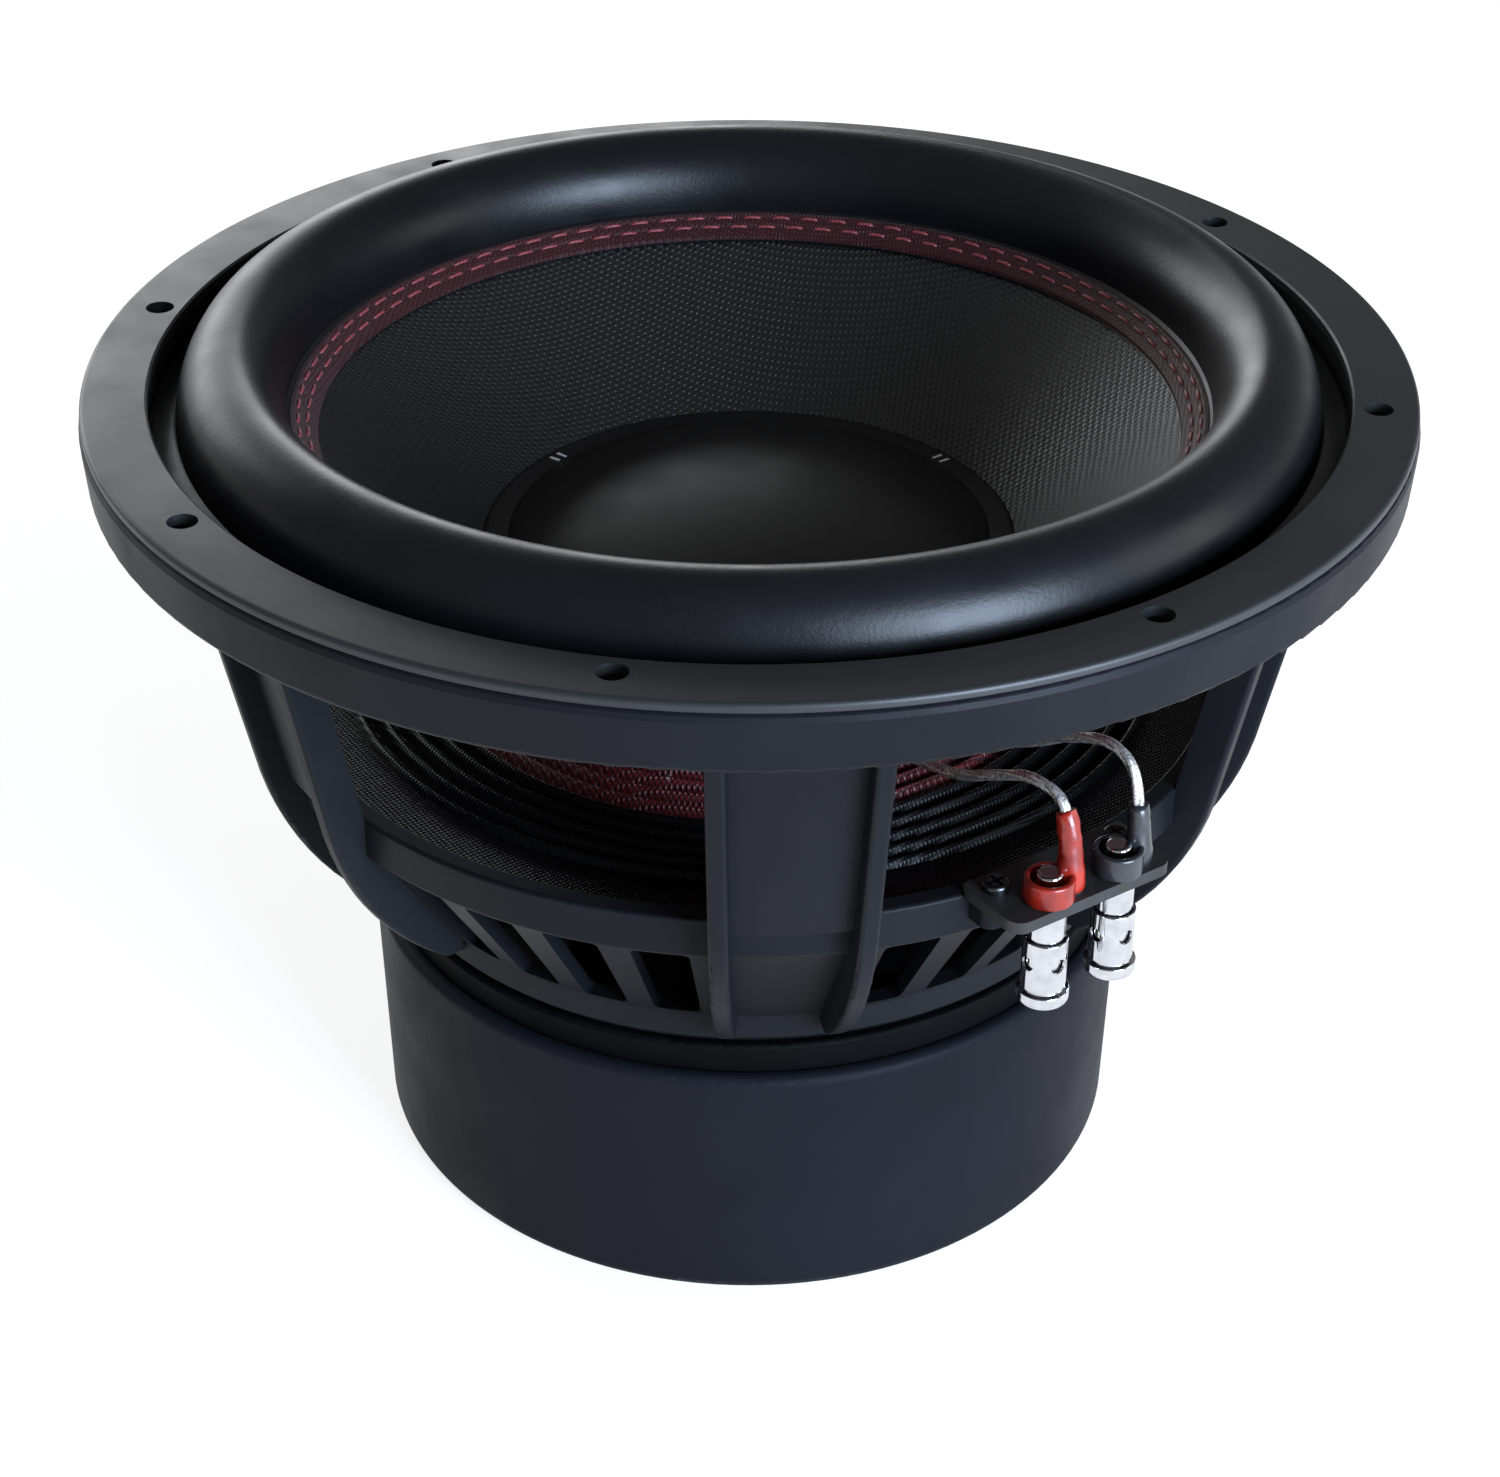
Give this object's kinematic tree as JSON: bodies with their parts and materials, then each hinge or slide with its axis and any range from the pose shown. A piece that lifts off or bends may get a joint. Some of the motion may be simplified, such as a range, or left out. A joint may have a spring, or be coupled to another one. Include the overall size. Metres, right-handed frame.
{
  "type": "car subwoofer speaker",
  "caption": "Round cone loudspeaker driver with a cast basket, tall roll surround, stitched edge band, booted magnet and push terminals.",
  "frame": {"origin": "centre of the magnet boot's underside, on the cone's axis", "axes": "+Z along the cone's axis towards the listener; +X through the middle of the basket window that carries the terminals seen in the view"},
  "size_m": [0.32, 0.32, 0.2228],
  "materials": {
    "coated_alloy": "satin black powder coat on cast alloy",
    "gasket_rubber": "satin",
    "surround_rubber": "satin",
    "stitched_trim": "dark red, stitched",
    "cone_weave": "woven, coated",
    "cap_plastic": "semi-gloss with a plain printed motif",
    "spider_cloth": "matte",
    "former_aluminium": "black anodised",
    "winding_copper": "enamelled copper",
    "plated_steel": "black plated",
    "ferrite": "matte ceramic",
    "boot_rubber": "soft satin",
    "screw_steel": "blackened",
    "board": "matte phenolic",
    "chrome_plate": "polished",
    "plated_pin": "satin",
    "nickel": "satin",
    "tin": "dull tin",
    "tinsel": "braided silver",
    "sleeve_red": "shrunk sleeve",
    "sleeve_black": "shrunk sleeve"
  },
  "bodies": {
    "basket": {"basket": "coated_alloy", "mounting_gasket": "gasket_rubber", "surround": "surround_rubber", "spider": "spider_cloth", "t_yoke": "plated_steel", "magnet_lower": "ferrite", "magnet_upper": "ferrite", "top_plate": "plated_steel", "magnet_boot": "boot_rubber", "base_screws": "screw_steel", "terminal_plate_screws": "screw_steel", "terminal_plate_right": "board", "terminal_plate_left": "board", "solder_lugs": "tin", "stud_nuts": "nickel", "terminal_post_right_positive": "plated_pin", "terminal_spring_right_positive": "screw_steel", "stud_collar_right_positive": "sleeve_red", "lead_right_positive": "tinsel", "lead_shrink_right_positive": "sleeve_red", "terminal_post_right_negative": "plated_pin", "terminal_spring_right_negative": "screw_steel", "stud_collar_right_negative": "sleeve_black", "lead_right_negative": "tinsel", "lead_shrink_right_negative": "sleeve_black", "terminal_post_left_positive": "plated_pin", "terminal_spring_left_positive": "screw_steel", "stud_collar_left_positive": "sleeve_red", "lead_left_positive": "tinsel", "lead_shrink_left_positive": "sleeve_red", "terminal_post_left_negative": "plated_pin", "terminal_spring_left_negative": "screw_steel", "stud_collar_left_negative": "sleeve_black", "lead_left_negative": "tinsel", "lead_shrink_left_negative": "sleeve_black"},
    "cone": {"cone": "cone_weave", "edge_band": "stitched_trim", "dust_cap": "cap_plastic", "coil_former": "former_aluminium", "coil_winding": "winding_copper", "coil_tabs": "former_aluminium"},
    "push_right_positive": {"terminal_sleeve_right_positive": "chrome_plate"},
    "push_right_negative": {"terminal_sleeve_right_negative": "chrome_plate"},
    "push_left_positive": {"terminal_sleeve_left_positive": "chrome_plate"},
    "push_left_negative": {"terminal_sleeve_left_negative": "chrome_plate"}
  },
  "joints": [
    {"name": "cone_travel", "type": "slide", "parent": "basket", "child": "cone", "axis": [0, 0, 1], "range_m": [-0.014, 0.014], "stiffness_N_per_m": 6500, "deforming": ["surround", "spider", "lead_right_positive", "lead_right_negative", "lead_left_positive", "lead_left_negative"]},
    {"name": "terminal_push_right_positive", "type": "slide", "parent": "basket", "child": "push_right_positive", "axis": [0, 0, 1], "range_m": [0, 0.0036], "stiffness_N_per_m": 2500, "deforming": ["terminal_spring_right_positive"]},
    {"name": "terminal_push_right_negative", "type": "slide", "parent": "basket", "child": "push_right_negative", "axis": [0, 0, 1], "range_m": [0, 0.0036], "stiffness_N_per_m": 2500, "deforming": ["terminal_spring_right_negative"]},
    {"name": "terminal_push_left_positive", "type": "slide", "parent": "basket", "child": "push_left_positive", "axis": [0, 0, 1], "range_m": [0, 0.0036], "stiffness_N_per_m": 2500, "deforming": ["terminal_spring_left_positive"]},
    {"name": "terminal_push_left_negative", "type": "slide", "parent": "basket", "child": "push_left_negative", "axis": [0, 0, 1], "range_m": [0, 0.0036], "stiffness_N_per_m": 2500, "deforming": ["terminal_spring_left_negative"]}
  ]
}
